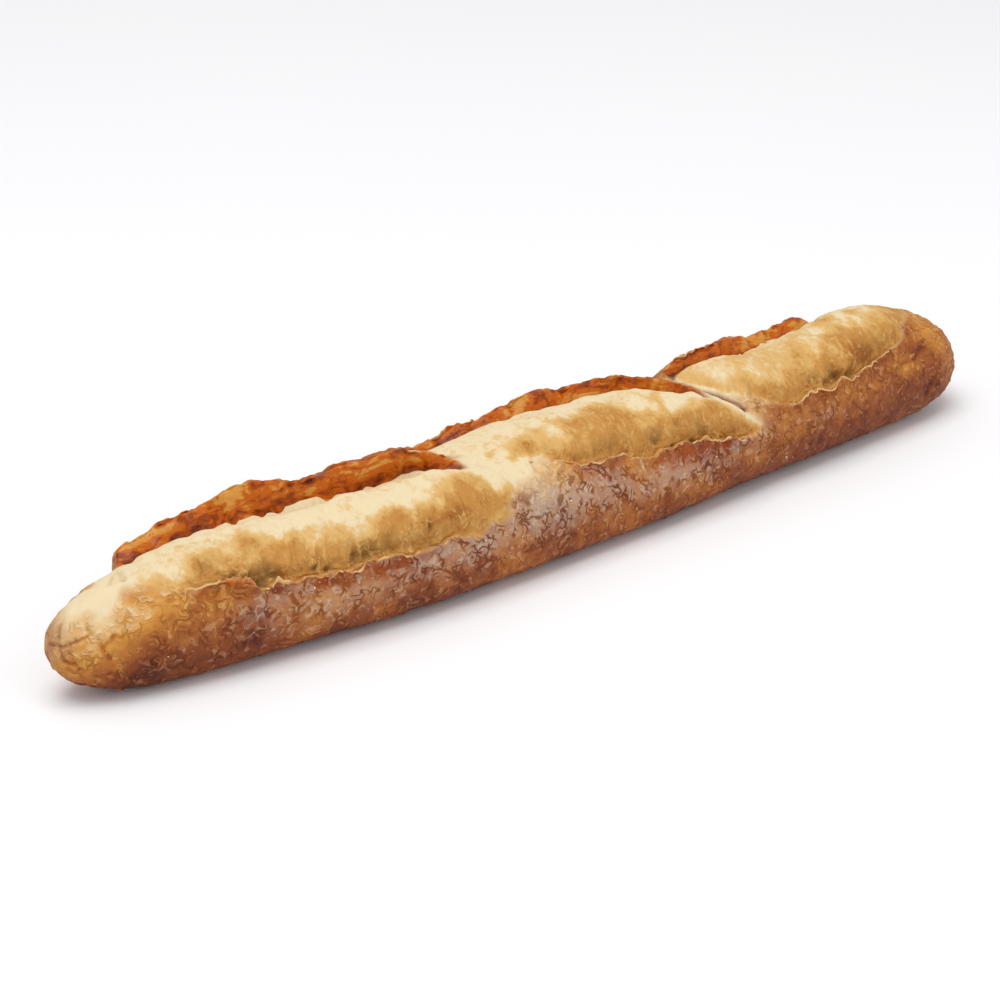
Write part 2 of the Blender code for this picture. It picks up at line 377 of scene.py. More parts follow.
class Opening:
    """A cut at some xs. Its values are columns, to set against rows of q.

    Beyond the cut's tips its lip, at the front, and its rim, at the back, meet.
    """

    def __init__(self, cut, xs):
        self.cut = cut
        self.x = xs[:, None]
        self.s = (self.x - cut.middle) / cut.reach
        part = np.maximum(1 - np.abs(self.s) ** cut.fullness, 0) ** cut.sharpness
        centre = self.along("path") * MM
        teeth = 0.7 * self.wander(9, 1) + 0.5 * self.wander(4, 2)
        teeth = teeth * (0.25 + smooth(0, 1.5, self.along("frill"))) * np.maximum(1 - self.s**4, 0)
        self.lip = centre + part * (LIP_WANDER * self.wander(26) - cut.half_width) + TEAR * teeth
        self.rim = centre + part * (EAR_WANDER * self.wander(30, 5) + cut.half_width)
        self.width = np.maximum(self.rim - self.lip, MM)
        self.torn = np.clip(self.along("opened"), 0, 1)
        self.full = np.where(np.abs(self.s) < 1, 1 - np.abs(self.s) ** 5, 0)
        self.height = self.ear_height()
        self.stands = smooth(0.5 * MM, 2.5 * MM, self.height)

    def along(self, name):
        """The cut's curve of that name, held at its end values beyond the tips."""
        return through(getattr(self.cut, name), np.clip(self.s, -1, 1))

    def wander(self, wavelength, number=0):
        return wander(self.x, wavelength, self.cut.seed + number)

    def grain(self, q, wide, tall, number):
        return grain(self.x, q, wide, tall, self.cut.seed + number)

    def across(self, q):
        """0 at the lip and 1 at the rim."""
        return np.clip((q - self.lip) / self.width, 0, 1)

    def near(self, tip):
        """1 inside the cut, falling to 0 over that share of it at its tips."""
        return smooth(0, tip, 1 - np.abs(self.s))

    def ear_height(self):
        start, stop = (end * MM for end in self.cut.ear_span)
        whole = smooth(start - EAR_START, start + EAR_START, self.x)
        whole = whole * (1 - smooth(stop - EAR_END, stop + EAR_END, self.x))
        height = self.along("ear") * MM * (1 + EAR_RAGGED * self.wander(17, 9))
        crest = CREST * (self.wander(12, 10) + 0.5 * self.wander(5, 11))
        return np.maximum(height + crest * smooth(2 * MM, 6 * MM, height), 0) * whole

    def bloom(self, sizes, q):
        """How far the crumb stands out."""
        inside, beyond = q - self.lip, q - self.rim
        pocket = hump(inside - 0.6 * POCKET_WIDTH, 0.5 * POCKET_WIDTH)
        pocket = -sizes.pocket * (0.2 + 0.8 * self.torn) * pocket
        swell = self.along("swell") * MM * np.sin(np.pi * self.across(q) ** 1.2) ** 0.8
        groove = -sizes.groove * hump(beyond + GROOVE_FROM_EAR, GROOVE_WIDTH)
        groove = groove * smooth(0, 5 * MM, self.height)
        narrow = smooth(0, 4 * GROOVE_WIDTH, self.width)
        in_cut = smooth(0, LIP_WIDTH, inside) * (1 - smooth(-EAR_FACE, 0, beyond))
        return in_cut * (pocket * narrow + swell) + groove * narrow

    def tones(self, q):
        """(gold, hollow): how browned the crumb is, and how deep in a pocket, which also sets the
        painted olive shade there.
        """
        caves = smooth(-0.4, 0.6, self.grain(q, 15, 14, 3) + 0.6 * self.grain(q, 5, 9, 15))
        hollow = self.along("hollow") * caves * hump(q - self.lip - 5 * MM, 5 * MM)
        stray = 0.15 * self.grain(q, 18, 12, 6) + 0.06 * self.grain(q, 6, 8, 8)
        gold = 1 - smooth(-0.24, 0.26, self.across(q) - self.along("gold") + stray)
        gold = self.cut.warmth + (1 - self.cut.warmth) * gold
        gold = gold + spots(TOAST_PATCHES, self.x, q) - spots(FRESH_PATCHES, self.x, q)
        return gold, np.clip(hollow, 0, 1)


def openings(xs):
    return [Opening(cut, xs) for cut in CUTS]


def crust_relief(sizes, xs, q):
    """(lift, shift): the crust's form. Each x has its own row of q."""
    lift, shift = 0 * q, 0 * q
    for cut in openings(xs):
        inside, beyond = q - cut.lip, q - cut.rim
        sunk = 1 - smooth(-EAR_FACE, 0, beyond + CLOSED_OVER * (1 - cut.stands))
        sunk = sunk * smooth(0, LIP_WALL, inside) * smooth(2 * MM, 9 * MM, cut.width)
        rise = np.exp(np.minimum(inside, 0) / LIP_REACH) * (1 - smooth(0, LIP_WIDTH, inside))
        rise = sizes.lip_rise * (0.15 + 0.85 * cut.torn) * rise
        floor = cut.bloom(sizes, q) - CRUST_UNDER * sunk * smooth(0.45, 0.9, cut.torn)
        flap = smooth(-EAR_FACE, 0, beyond) * (1 - smooth(EAR_RIM, EAR_RIM + EAR_BACK, beyond) ** 0.75)
        ear = (np.abs(cut.s) < 1) * cut.height * flap
        lift = lift + cut.full * (rise + floor) + ear
        shift = shift + EAR_LEAN * ear
    return lift, shift


@dataclass
class Marks:
    """Where the crust shows something other than plain skin, from 0 to 1 at each point."""

    ear: np.ndarray  # an ear's inner face
    # up sets the painted shade at the foot of an ear's face and the painted light near its rim.
    up: np.ndarray  # how far up that face
    crumb: np.ndarray  # stretched or torn crumb
    gold: np.ndarray  # how browned that crumb is


def crust_marks(xs, q):
    ear, up, crumb, gold = (0 * q for _ in range(4))
    ragged = grain(xs[:, None], q, 9, 8, 6.6)
    for cut in openings(xs):
        here, beyond = cut.near(0.05), q - cut.rim
        face = smooth(-9 * MM, -5 * MM, beyond) * (1 - smooth(0.3 * MM, 2 * MM, beyond))
        ear = np.maximum(ear, here * cut.stands * face)
        # up drives the painted shade at an ear's foot and the painted light near its rim.
        up = np.maximum(up, here * smooth(-5.5 * MM, 0.5 * MM, beyond) * (beyond < 4 * MM))
        stretched, bare = 1 - cut.torn, 1 - cut.stands
        soft = (0.5 + 4.5 * stretched) * MM
        far = (2 + 4 * bare) * MM
        inner = smooth(-soft, soft, q - cut.lip + 3 * MM * stretched * (ragged - 0.6))
        inner = inner * (1 - smooth(-far, far, beyond + (3 * cut.stands + 2 * bare * ragged) * MM))
        crumb = np.maximum(crumb, here * inner)
        gold = np.maximum(gold, cut.tones(q)[0] * here * inner)
    crumb = np.clip(crumb + spots(CREAM_PATCHES, xs[:, None], q + 3 * MM * ragged), 0, 1)
    return Marks(ear, up, crumb * (1 - ear), gold)


def ring_places(sizes):
    """xs of the crust's rings, evenly spaced over its top and round its noses."""
    x = np.sin(np.linspace(-np.pi / 2, np.pi / 2, END_POINTS)) * sizes.long / 2
    _, half, top, _ = outline(sizes, x)
    run = running_length(x, half, top)
    return np.interp(np.linspace(0, run[-1], RINGS + 1), run, x)


def line_places(sizes, skin):
    """q of the crust's lines at each x: close together over the top, the lips and the ears."""
    lift, shift = crust_relief(sizes, skin.xs, skin.q)
    y = skin.y - skin.slope_z * lift + skin.slope_y * shift
    z = skin.z + skin.slope_y * lift + skin.slope_z * shift
    whole = (skin.q[:, -1] - skin.q[:, 0])[:, None]
    finer = 1 + TOP_SHARE * hump(skin.q + 0.06 * whole, 0.32 * whole)
    for cut in openings(skin.xs):
        finer = finer + cut.near(0.04) * LIP_SHARE * hump(skin.q - cut.lip, 2.5 * MM)
        finer = finer + cut.near(0.04) * RIM_SHARE * hump(skin.q - cut.rim + MM, 4 * MM)
    step = np.diff(running_length(y, z), axis=1) * finer[:, 1:]
    run = np.concatenate([0 * whole, np.cumsum(step, axis=1)], axis=1)
    even = np.linspace(0, 1, LINES, endpoint=False)
    return np.array([np.interp(far[-1] * even, far, q) for far, q in zip(run, skin.q)])


# ---------------- marks on the surface

# Soft oval spots: x and q in mm, their size along x and along q in mm, and their strength.
FLOUR_PATCHES = (
    (-28, -41, 32, 12, 0.68), (-82, -46, 36, 11, 0.6), (-150, -53, 46, 9, 0.45),
    (0, -54, 60, 7, 0.22), (-165, -40, 48, 8, 0.5), (50, -46, 50, 11, 0.6),
    (104, -36, 16, 11, 0.5), (150, -46, 22, 9, 0.25), (-40, -20, 14, 14, 0.6),
    (95, -18, 9, 10, 0.6), (30, 52, 160, 22, 0.6),
)
ORANGE_PATCHES = (
    (-160, -41, 14, 5, 0.9), (-130, -44, 16, 5, 0.9), (-216, -25, 8, 4, 0.6),
    (46, -41, 22, 5, 0.8), (76, -42, 12, 4, 0.9), (124, -33, 9, 5, 0.7),
    (156, -36, 12, 4, 0.9),
)
CREAM_PATCHES = (
    (-264, -2, 12, 9, 1), (-252, -2, 12, 8, 1), (-58, -12, 16, 16, 1),
    (-40, -14, 14, 20, 1), (90, -6, 12, 12, 1), (98, -14, 9, 14, 0.9),
)
TOAST_PATCHES = (
    (193, -25, 11, 6, 0.8), (172, -32, 6, 4, 0.5), (192, 2, 7, 4, 0.45),
    (150, -14, 8, 5, 0.3), (-92, -31, 20, 4, 0.4), (138, -6, 34, 9, 0.16),
    (-222, -4, 34, 14, 0.18),
)
FRESH_PATCHES = (
    (200, -4, 20, 8, 0.35), (226, -8, 14, 8, 0.3), (176, -20, 5, 6, 0.3),
    (62, -14, 20, 6, 0.4),
)
PALE_PATCHES = (
    (-268, -14, 16, 14, 0.6), (-240, -20, 22, 9, 0.6), (-20, -20, 14, 18, 0.5),
    (106, -22, 12, 16, 0.6), (262, -8, 10, 14, 0.3), (226, -38, 12, 6, 0.6),
    (84, 5, 9, 8, 0.9),
)
DARK_PATCHES = (
    (-250, -48, 34, 14, 0.62), (-255, -24, 18, 8, 0.25), (-272, -42, 14, 18, 0.5),
    (-280, 7, 7, 11, 0.4), (238, -58, 22, 10, 0.3), (-190, -34, 26, 4, 0.3),
    (234, -31, 14, 3, 0.3),
)
# Pits are sunk into the crumb and painted with the olive shade of the pockets.
PITS = (
    (-164, -34, 1.5, 1.2, 1), (-158, -37, 1.8, 1.2, 1), (-104, -33, 1.1, 2, 1),
    (-203, -27, 3, 2, 1), (-192, -33, 3.4, 2.2, 1), (47, -36, 1.6, 1.6, 1),
    (61, -36, 1.8, 1.4, 1), (171, -31, 1.4, 1.8, 1), (178, -32, 1.2, 1.6, 1),
)


@dataclass
class Crease:
    """A fold in the skin through points (x, q) in mm. Its last number is how much darker it is: painted
    shade in the fold.
    """

    points: tuple
    width: float
    depth: float
    bake: float = 0.2


CREASES = (
    Crease(((-279.7, -1), (-277, -9), (-272, -13), (-268, -15)), 0.9, 1.3),
    Crease(((-275, -2), (-277, -4), (-278, -9), (-277, -15), (-274, -21)), 0.9, 1.3),
    Crease(((-275, -14), (-274, -19), (-272, -26)), 0.9, 0.8),
    Crease(((-267, -13), (-266, -16), (-264, -20), (-263, -25), (-261, -30)), 1.0, 1.1),
    Crease(((-263, -24), (-258, -22), (-255, -25)), 1.0, 0.8),
    Crease(((-250, -1), (-247, 2), (-244, 6)), 0.9, 1.4),
    Crease(((-244, -3), (-242, 3), (-241, 9)), 1.0, 1.8),
    Crease(((-26, -30), (-22, -29), (-17, -25), (-13, -20)), 0.9, 1.6),
    Crease(((-24, -5), (-31, -13), (-36, -20), (-37, -25)), 1.0, 1.5),
    Crease(((-147, -29), (-145, -31), (-143, -34)), 0.8, 1.3, 0.6),
    Crease(((-113, -14), (-113, -18), (-114, -22)), 1.0, 0.9),
    Crease(((86, -12), (91, -17), (96, -24), (100, -30)), 1.3, 1.6, 0.9),
    Crease(((219, -36), (230, -36), (244, -28)), 1.1, 1.1),
    Crease(((249, 12), (253, 13), (257, 12)), 1.5, 1.2, 0.8),
    Crease(((263, -4), (266, -1)), 1.3, 1.2, 0.7),
    Crease(((238, -57), (241, -52), (243, -48)), 2.2, 1.0, 0.1),
)


def spots(patches, x, q):
    """How strongly the patches cover each point."""
    total = 0 * q
    for at_x, at_q, long, tall, strength in patches:
        away = ((x - at_x * MM) / (long * MM)) ** 2 + ((q - at_q * MM) / (tall * MM)) ** 2
        total = total + strength * np.exp(-away)
    return np.clip(total, 0, 1)


def distance_to_path(points, path):
    """Distance of each point from the nearest straight run of a path."""
    nearest = np.full(len(points), 1.0)
    for start, end in zip(path[:-1], path[1:]):
        run = end - start
        t = np.clip((points - start) @ run / (run @ run), 0, 1)
        nearest = np.minimum(nearest, np.linalg.norm(points - start - t[:, None] * run, axis=1))
    return nearest


def on_crust(sizes, places):
    """The points of the crust at (x, q) places."""
    xs, q = places[:, 0], places[:, 1:]
    return Skin(sizes, xs).place(q, *crust_relief(sizes, xs, q))[:, 0]


# ---------------- mesh helpers


def deselect_all():
    bpy.ops.object.select_all(action="DESELECT")


def added(name):
    """The object that the last add operator made, renamed."""
    piece = bpy.context.object
    piece.name = name
    piece.data.name = name
    return piece


def add_grid(name, columns, rows):
    """(piece, at): a flat grid, and the column and row that each of its vertices lies in."""
    deselect_all()
    bpy.ops.mesh.primitive_grid_add(x_subdivisions=columns, y_subdivisions=rows, size=2)
    piece = added(name)
    places = (read_points(piece.data)[:, :2] + 1) / 2 * (columns, rows)
    column, row = np.rint(places).astype(int).T
    return piece, (column, row)


def read_points(mesh, values="vertices", field="co"):
    flat = np.empty(len(mesh.vertices) * 3, np.float32)
    getattr(mesh, values).foreach_get(field, flat)
    return flat.reshape(-1, 3).astype(float)


def write_points(mesh, points):
    mesh.vertices.foreach_set("co", np.ascontiguousarray(points, np.float32).ravel())
    mesh.update()


def store(mesh, **fields):
    """Keeps one number for each vertex, under names that the materials read."""
    for name, values in fields.items():
        attribute = mesh.attributes.new(name, "FLOAT", "POINT")
        attribute.data.foreach_set("value", np.ascontiguousarray(values, np.float32))


def store_places(mesh, x, q):
    """Keeps (x, q, 0) for each vertex, for patterns that follow the surface."""
    attribute = mesh.attributes.new("places", "FLOAT_VECTOR", "POINT")
    places = np.stack([x, q, 0 * q], axis=1)
    attribute.data.foreach_set("vector", np.ascontiguousarray(places, np.float32).ravel())


def thicken(piece, thickness, offset):
    bpy.context.view_layer.objects.active = piece
    modifier = piece.modifiers.new("Thickness", "SOLIDIFY")
    modifier.thickness = thickness
    modifier.offset = offset
    bpy.ops.object.modifier_apply(modifier=modifier.name)


def finish_piece(piece, material):
    """Gives a piece its material, smooth shading and its place in the object."""
    deselect_all()
    piece.select_set(True)
    bpy.context.view_layer.objects.active = piece
    bpy.ops.object.shade_smooth()
    piece.data.materials.clear()
    piece.data.materials.append(material)
    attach(piece, "root")


# ---------------- materials


class Tree:
    """Short words for building a node tree."""

    def __init__(self, tree):
        self.tree = tree

    def add(self, kind, inputs, **values):
        """A new node with its own values, and with links or values for some of its inputs."""
        node = self.tree.nodes.new(f"ShaderNode{kind}")
        for key, value in values.items():
            setattr(node, key, value)
        for key, value in inputs.items():
            self.put(node.inputs[key], value)
        return node

    def put(self, socket, value):
        """Links a socket to another, or sets its own value."""
        if isinstance(value, bpy.types.NodeSocket):
            self.tree.links.new(value, socket)
        elif value is not None:
            socket.default_value = (*value, 1) if socket.type == "RGBA" else value

    def attribute(self, name, output="Fac"):
        return self.add("Attribute", {}, attribute_name=name).outputs[output]

    def object_places(self):
        return self.add("TexCoord", {}).outputs["Object"]

    def cloud(self, vector, scale, detail=2.0, roughness=0.5, distortion=0.0):
        """Soft noise about 0.5. A scale of three numbers stretches it."""
        if isinstance(scale, tuple):
            vector = self.stretch(vector, scale)
            scale = 1.0
        inputs = {"Vector": vector, "Scale": scale, "Detail": detail, "Roughness": roughness}
        return self.add("TexNoise", {**inputs, "Distortion": distortion}).outputs["Fac"]

    def stretch(self, vector, scale):
        return self.add("Mapping", {"Vector": vector, "Scale": scale}).outputs["Vector"]

    def maths(self, operation, a, b=None, c=None, clamp=False):
        return self.add("Math", {0: a, 1: b, 2: c}, operation=operation, use_clamp=clamp).outputs[0]

    def times(self, a, b, clamp=False):
        return self.maths("MULTIPLY", a, b, clamp=clamp)

    def plus(self, a, b, weight=1.0):
        """a + weight * b"""
        return self.maths("MULTIPLY_ADD", b, weight, a)

    def sway(self, value, cloud, weight):
        """value, moved up where the cloud is above 0.5 and down where it is below"""
        return self.plus(value, self.maths("SUBTRACT", cloud, 0.5), weight)

    def span(self, value, low, high, start=0.0, end=1.0):
        """Moves value smoothly from start at low to end at high."""
        inputs = {"Value": value, "From Min": low, "From Max": high, "To Min": start, "To Max": end}
        return self.add("MapRange", inputs, interpolation_type="SMOOTHSTEP").outputs["Result"]

    def mix(self, factor, a, b):
        return self.add("Mix", {0: factor, 6: a, 7: b}, data_type="RGBA").outputs[2]

    def ramp(self, value, stops):
        """A colour for each value, from (place, colour) pairs."""
        node = self.add("ValToRGB", {"Fac": value})
        line, stops = node.color_ramp.elements, list(stops)
        while len(line) < len(stops):
            line.new(0.5)
        for element, (place, tint) in zip(line, stops):
            element.position = place
            element.color = (*tint, 1)
        return node.outputs["Color"]

    def group(self, group, **inputs):
        return self.add("Group", inputs, node_tree=group).outputs

    def ripples(self, vector, scale, turns=21.0):
        """Winding ridges, from -1 to 1, a few to each puff of the cloud that they follow."""
        return self.maths("SINE", self.times(self.cloud(vector, scale, 1.2, 0.5, 0.45), turns))

    def dress(self, tint, roughness, gloss=None, height=None, depth=0.0):
        """Sets the surface: its colour, roughness and sheen, and bumps that are so deep."""
        shader = self.tree.nodes["Principled BSDF"]
        self.put(shader.inputs["Base Color"], tint)
        self.put(shader.inputs["Roughness"], roughness)
        self.put(shader.inputs["Specular IOR Level"], gloss)
        if height is not None:
            bump = self.add("Bump", {"Height": height, "Distance": depth, "Strength": 1.0})
            self.put(shader.inputs["Normal"], bump.outputs["Normal"])


CRUMB_TINTS = ("Cream", "Honey", "Gold", "Toast", "Olive")
EAR_TINTS = ("Burnt", "Amber", "Glow", "Straw")
SOCKETS = {"Vector": "Vector", **dict.fromkeys(("Color", *CRUMB_TINTS, *EAR_TINTS), "Color")}


def node_group(name, inputs, outputs):
    """Wraps a function that fills a node tree: it then returns that group, made on its first call."""

    def wrap(fill):
        def group():
            made = bpy.data.node_groups.get(name)
            if made is None:
                made = bpy.data.node_groups.new(name, "ShaderNodeTree")
                for way, labels in (("INPUT", inputs), ("OUTPUT", outputs)):
                    for label in labels:
                        kind = f"NodeSocket{SOCKETS.get(label, 'Float')}"
                        made.interface.new_socket(label, in_out=way, socket_type=kind)
                given, results = made.nodes.new("NodeGroupInput"), made.nodes.new("NodeGroupOutput")
                for label, value in fill(Tree(made), given.outputs).items():
                    made.links.new(value, results.inputs[label])
            return made

        return group

    return wrap


def tints(look, names):
    """A group's colour inputs, from the settings of the same names."""
    return {name: getattr(look, name.lower()) for name in names}


@node_group("Blistered skin", ("Vector", "Scale"), ("Height", "Squiggles", "Cracks"))
def blister_group(tree, given):
    """Baked blisters, with pale raised squiggles and dark short cracks."""
    place, scale = given["Vector"], given["Scale"]
    ridges = tree.ripples(place, scale)
    breaks = tree.cloud(place, tree.times(scale, 0.9), 1.0)
    gaps = tree.cloud(tree.stretch(place, (1.2, 0.9, 1.1)), tree.times(scale, 0.6), 1.0)
    squiggles = tree.times(tree.span(ridges, 0.1, 0.95), tree.span(breaks, 0.38, 0.56))
    cracks = tree.times(tree.span(ridges, -0.3, -1.0), tree.span(gaps, 0.42, 0.62))
    domes = tree.cloud(place, tree.times(scale, 1.4), 2.0, 0.55, 0.6)
    fine = tree.cloud(place, tree.times(scale, 4.6), 2.0, 0.6)
    height = tree.plus(tree.plus(tree.plus(domes, squiggles, 0.6), cracks, -0.7), fine, 0.25)
    return {"Height": height, "Squiggles": squiggles, "Cracks": cracks}


@node_group("Torn crumb", ("Vector", "Browned", "Hollow", *CRUMB_TINTS), ("Color", "Height"))
def crumb_group(tree, given):
    """Torn and stretched crumb: cream on top, drawn out into browned strands lower down."""
    place, browned, hollow = given["Vector"], given["Browned"], given["Hollow"]
    clouds = tree.cloud(place, 95.0, 3.0, 0.6, 0.6)
    broad = tree.cloud(place, (200, 100, 1), 2.0, 0.55, 0.9)
    thin = tree.cloud(place, (420, 240, 1), 2.0, 0.6, 0.8)
    mottle = tree.cloud(place, 420.0, 2.0, 0.6, 0.5)
    ridges = tree.ripples(place, 170.0)
    strings = tree.cloud(place, (260, 150, 1), 1.0, 0.5, 2.2)
    frayed = tree.cloud(place, 70.0, 1.0)
    worn = tree.times(tree.span(browned, 0.3, 0.9), tree.span(frayed, 0.35, 0.6))
    gold = tree.sway(browned, clouds, 1.0)
    gold = tree.sway(gold, broad, tree.plus(0.1, browned, 0.3))
    gold = tree.sway(gold, thin, tree.plus(0.1, browned, 0.2))
    gold = tree.plus(tree.sway(gold, mottle, 0.3), ridges, 0.06)
    tint = given["Cream"]
    for low, high, name in ((0.02, 0.5, "Honey"), (0.45, 1.0, "Gold"), (1.0, 1.7, "Toast")):
        tint = tree.mix(tree.span(gold, low, high), tint, given[name])
    # Toast in the grooves between strands and honey on them follow the relief: partly the crumb's own
    # colour, partly painted shade and painted highlight.
    tint = tree.mix(tree.times(tree.span(strings, 0.44, 0.28, 0.0, 0.5), worn), tint, given["Toast"])
    # Painted shade: olive in the pockets behind the lip and in the pits.
    shade = tree.times(tree.sway(hollow, broad, hollow), 0.85, clamp=True)
    tint = tree.mix(shade, tint, given["Olive"])
    tint = tree.mix(tree.times(tree.span(strings, 0.56, 0.7, 0.0, 0.7), worn), tint, given["Honey"])
    height = tree.plus(tree.times(broad, browned), thin, 0.4)
    height = tree.plus(tree.plus(height, mottle, 0.4), ridges, -0.12)
    return {"Color": tint, "Height": tree.plus(height, tree.times(strings, worn), 1.2)}


@node_group("Ear folds", ("Vector", "Up", *EAR_TINTS), ("Color", "Height"))
def ear_group(tree, given):
    """The inner face of an ear: broad glazed folds, with painted shade at the foot and painted light
    towards the rim.
    """
    broad = tree.cloud(given["Vector"], (55, 120, 120), 2.0, 0.5, 0.7)
    streaks = tree.cloud(given["Vector"], (110, 290, 290), 2.0, 0.6, 1.0)
    flecks = tree.cloud(given["Vector"], 300.0, 1.0, 0.5, 0.5)
    # Up paints shade at the ear's foot and light towards its rim.
    level = tree.sway(tree.span(given["Up"], 0.0, 0.9, -0.1, 0.22), broad, 1.9)
    level = tree.sway(tree.sway(level, streaks, 1.0), flecks, 0.35)
    tint = given["Burnt"]
    for low, high, name in ((-0.34, -0.08, "Amber"), (-0.08, 0.18, "Glow"), (0.26, 0.5, "Straw")):
        tint = tree.mix(tree.span(level, low, high), tint, given[name])
    return {"Color": tint, "Height": tree.plus(broad, streaks, 0.5)}


@node_group("Flour dust", ("Vector", "Amount", "Squiggles", "Cracks"), ("Mask",))
def dust_group(tree, given):
    """Flour that lies on the high places in uneven clouds."""
    clouds = tree.cloud(given["Vector"], 90.0, 4.0, 0.65, 0.4)
    specks = tree.cloud(given["Vector"], 700.0, 2.0, 0.7)
    level = tree.plus(tree.plus(given["Amount"], clouds, 0.9), specks, 0.35)
    level = tree.plus(tree.plus(level, given["Squiggles"], 0.3), given["Cracks"], -0.65)
    return {"Mask": tree.span(level, 0.7, 2.0)}


def new_material(name):
    """(material, tree) of an empty material."""
    material = bpy.data.materials.new(name)
    material.use_nodes = True
    return material, Tree(material.node_tree)


def crumb_nodes(tree, look, hollow):
    """The torn crumb's outputs, in the colours that the user set."""
    places, gold = tree.attribute("places", "Vector"), tree.attribute("gold")
    colours = tints(look, CRUMB_TINTS)
    return tree.group(crumb_group(), Vector=places, Browned=gold, Hollow=hollow, **colours)


def ear_nodes(tree, look):
    """The ear's outputs, in the colours that the user set."""
    places, up = tree.object_places(), tree.attribute("up")
    return tree.group(ear_group(), Vector=places, Up=up, **tints(look, EAR_TINTS))


BLISTERS = 215.0  # puffs of the blisters' cloud in a metre
BUMP_DEPTH = 0.6 * MM


def crust_material(scene):
    look = scene.crust_look
    material, tree = new_material("crust")
    places, flour = tree.object_places(), tree.attribute("flour")
    skin = tree.group(blister_group(), Vector=places, Scale=BLISTERS)
    squiggles, cracks = skin["Squiggles"], skin["Cracks"]
    # This attribute holds the browning, with painted shade down the flanks, at the foot and in the
    # creases.
    bake = tree.sway(tree.attribute("bake"), tree.cloud(places, 42.0, 3.0, 0.6), 0.5)
    bake = tree.sway(bake, tree.cloud(places, 170.0, 2.0, 0.6, 0.6), 0.35)
    bake = tree.plus(tree.plus(bake, squiggles, -0.13), cracks, 0.1)
    baked = (look.pale, look.golden, look.tan, look.brown, look.dark)
    tint = tree.ramp(bake, zip((0, 0.28, 0.5, 0.72, 1), baked))
    tint = tree.mix(tree.attribute("orange"), tint, scene.ear_look.amber)
    given = {"Vector": places, "Amount": flour, "Squiggles": squiggles, "Cracks": cracks}
    dust = tree.group(dust_group(), **given)["Mask"]
    tint = tree.mix(tree.times(dust, 0.8), tint, look.flour)
    tint = tree.mix(tree.times(tree.times(cracks, flour), 0.8, clamp=True), tint, look.dark)

    crumb_here, ear_here = tree.attribute("crumb"), tree.attribute("ear")
    crumb = crumb_nodes(tree, scene.crumb_look, 0.0)
    ear = ear_nodes(tree, scene.ear_look)
    tint = tree.mix(ear_here, tree.mix(crumb_here, tint, crumb["Color"]), ear["Color"])
    matt = tree.plus(tree.plus(look.roughness, dust, 0.35), crumb_here, 0.15)
    plain = tree.maths("SUBTRACT", 1.0, tree.maths("ADD", crumb_here, ear_here, clamp=True))
    height = tree.plus(tree.times(skin["Height"], plain), tree.times(crumb["Height"], crumb_here))
    height = tree.plus(height, tree.times(ear["Height"], ear_here), 1.4)
    tree.dress(tint, tree.plus(matt, ear_here, -0.2), look.gloss, height, BUMP_DEPTH)
    return material


def crumb_material(scene):
    material, tree = new_material("torn_crumb")
    crumb = crumb_nodes(tree, scene.crumb_look, tree.attribute("hollow"))
    tree.dress(crumb["Color"], 0.62, scene.crust_look.gloss, crumb["Height"], BUMP_DEPTH)
    return material


def edge_material(scene):
    material, tree = new_material("torn_edge")
    ear = ear_nodes(tree, scene.ear_look)
    # pale: the lip flakes' pale torn edges, and a painted highlight along the ear flakes' rim.
    pale = tree.sway(tree.attribute("pale"), tree.cloud(tree.object_places(), 320.0, 2.0, 0.6), 0.6)
    tint = tree.mix(tree.span(pale, 0.25, 0.75), ear["Color"], scene.ear_look.edge)
    tree.dress(tint, 0.42, scene.crust_look.gloss, ear["Height"], 0.4 * MM)
    return material


FRESH_FLOUR = (0.86, 0.78, 0.70)


def flour_material(scene):
    material, tree = new_material("flour")
    grey = tree.span(tree.cloud(tree.object_places(), 300.0), 0.3, 0.7)
    tree.dress(tree.mix(grey, scene.crust_look.flour, FRESH_FLOUR), 0.9)
    return material


# ---------------- pieces


def skin_colours(sizes, xs, q, marks):
    """(browning, flour, orange) of the crust's points. The browning darkens down the flanks to the
    foot, partly as real browning and partly as painted shade.
    """
    x, t = xs[:, None], xs[:, None] / (sizes.long / 2)
    # Darker down the flanks towards the foot: partly browning, partly painted shade.
    bake = 0.42 + 0.34 * smooth(22 * MM, 80 * MM, np.abs(q)) - 0.1 * smooth(30 * MM, 55 * MM, q)
    bake = bake + 0.1 * smooth(0.1, 0.7, t) + 0.05 * smooth(0.55, 0.8, -t)
    for cut in openings(xs):
        edges = 0.12 * hump(q - cut.lip + 2 * MM, 4 * MM) + 0.16 * hump(q - cut.rim - 3 * MM, 6 * MM)
        bake = bake + cut.near(0.12) * cut.torn * edges
    bake = bake - 0.5 * spots(PALE_PATCHES, x, q) + 0.3 * spots(DARK_PATCHES, x, q)
    bake = bake + 0.1 * grain(x, q, 26, 22, 5.5)
    orange = spots(ORANGE_PATCHES, x, q) * (1 - 0.5 * smooth(0, 0.5, grain(x, q, 7, 5, 8.1)))
    outside = (1 - marks.ear) * (1 - marks.crumb)
    return bake, spots(FLOUR_PATCHES, x, q) * outside * (1 - 0.8 * orange), orange * outside


def roughness(x, q, marks):
    """Blisters and slow dents, softer on stretched crumb and none on an ear's face."""
    blisters = grain(x, q, 3.6, 3.2, 11) + 0.6 * np.abs(grain(x, q, 2.4, 2.6, 12))
    dents = 0.9 * grain(x, q, 13, 11, 14)
    return (blisters * (1 - 0.6 * marks.crumb) + dents) * (1 - marks.ear)


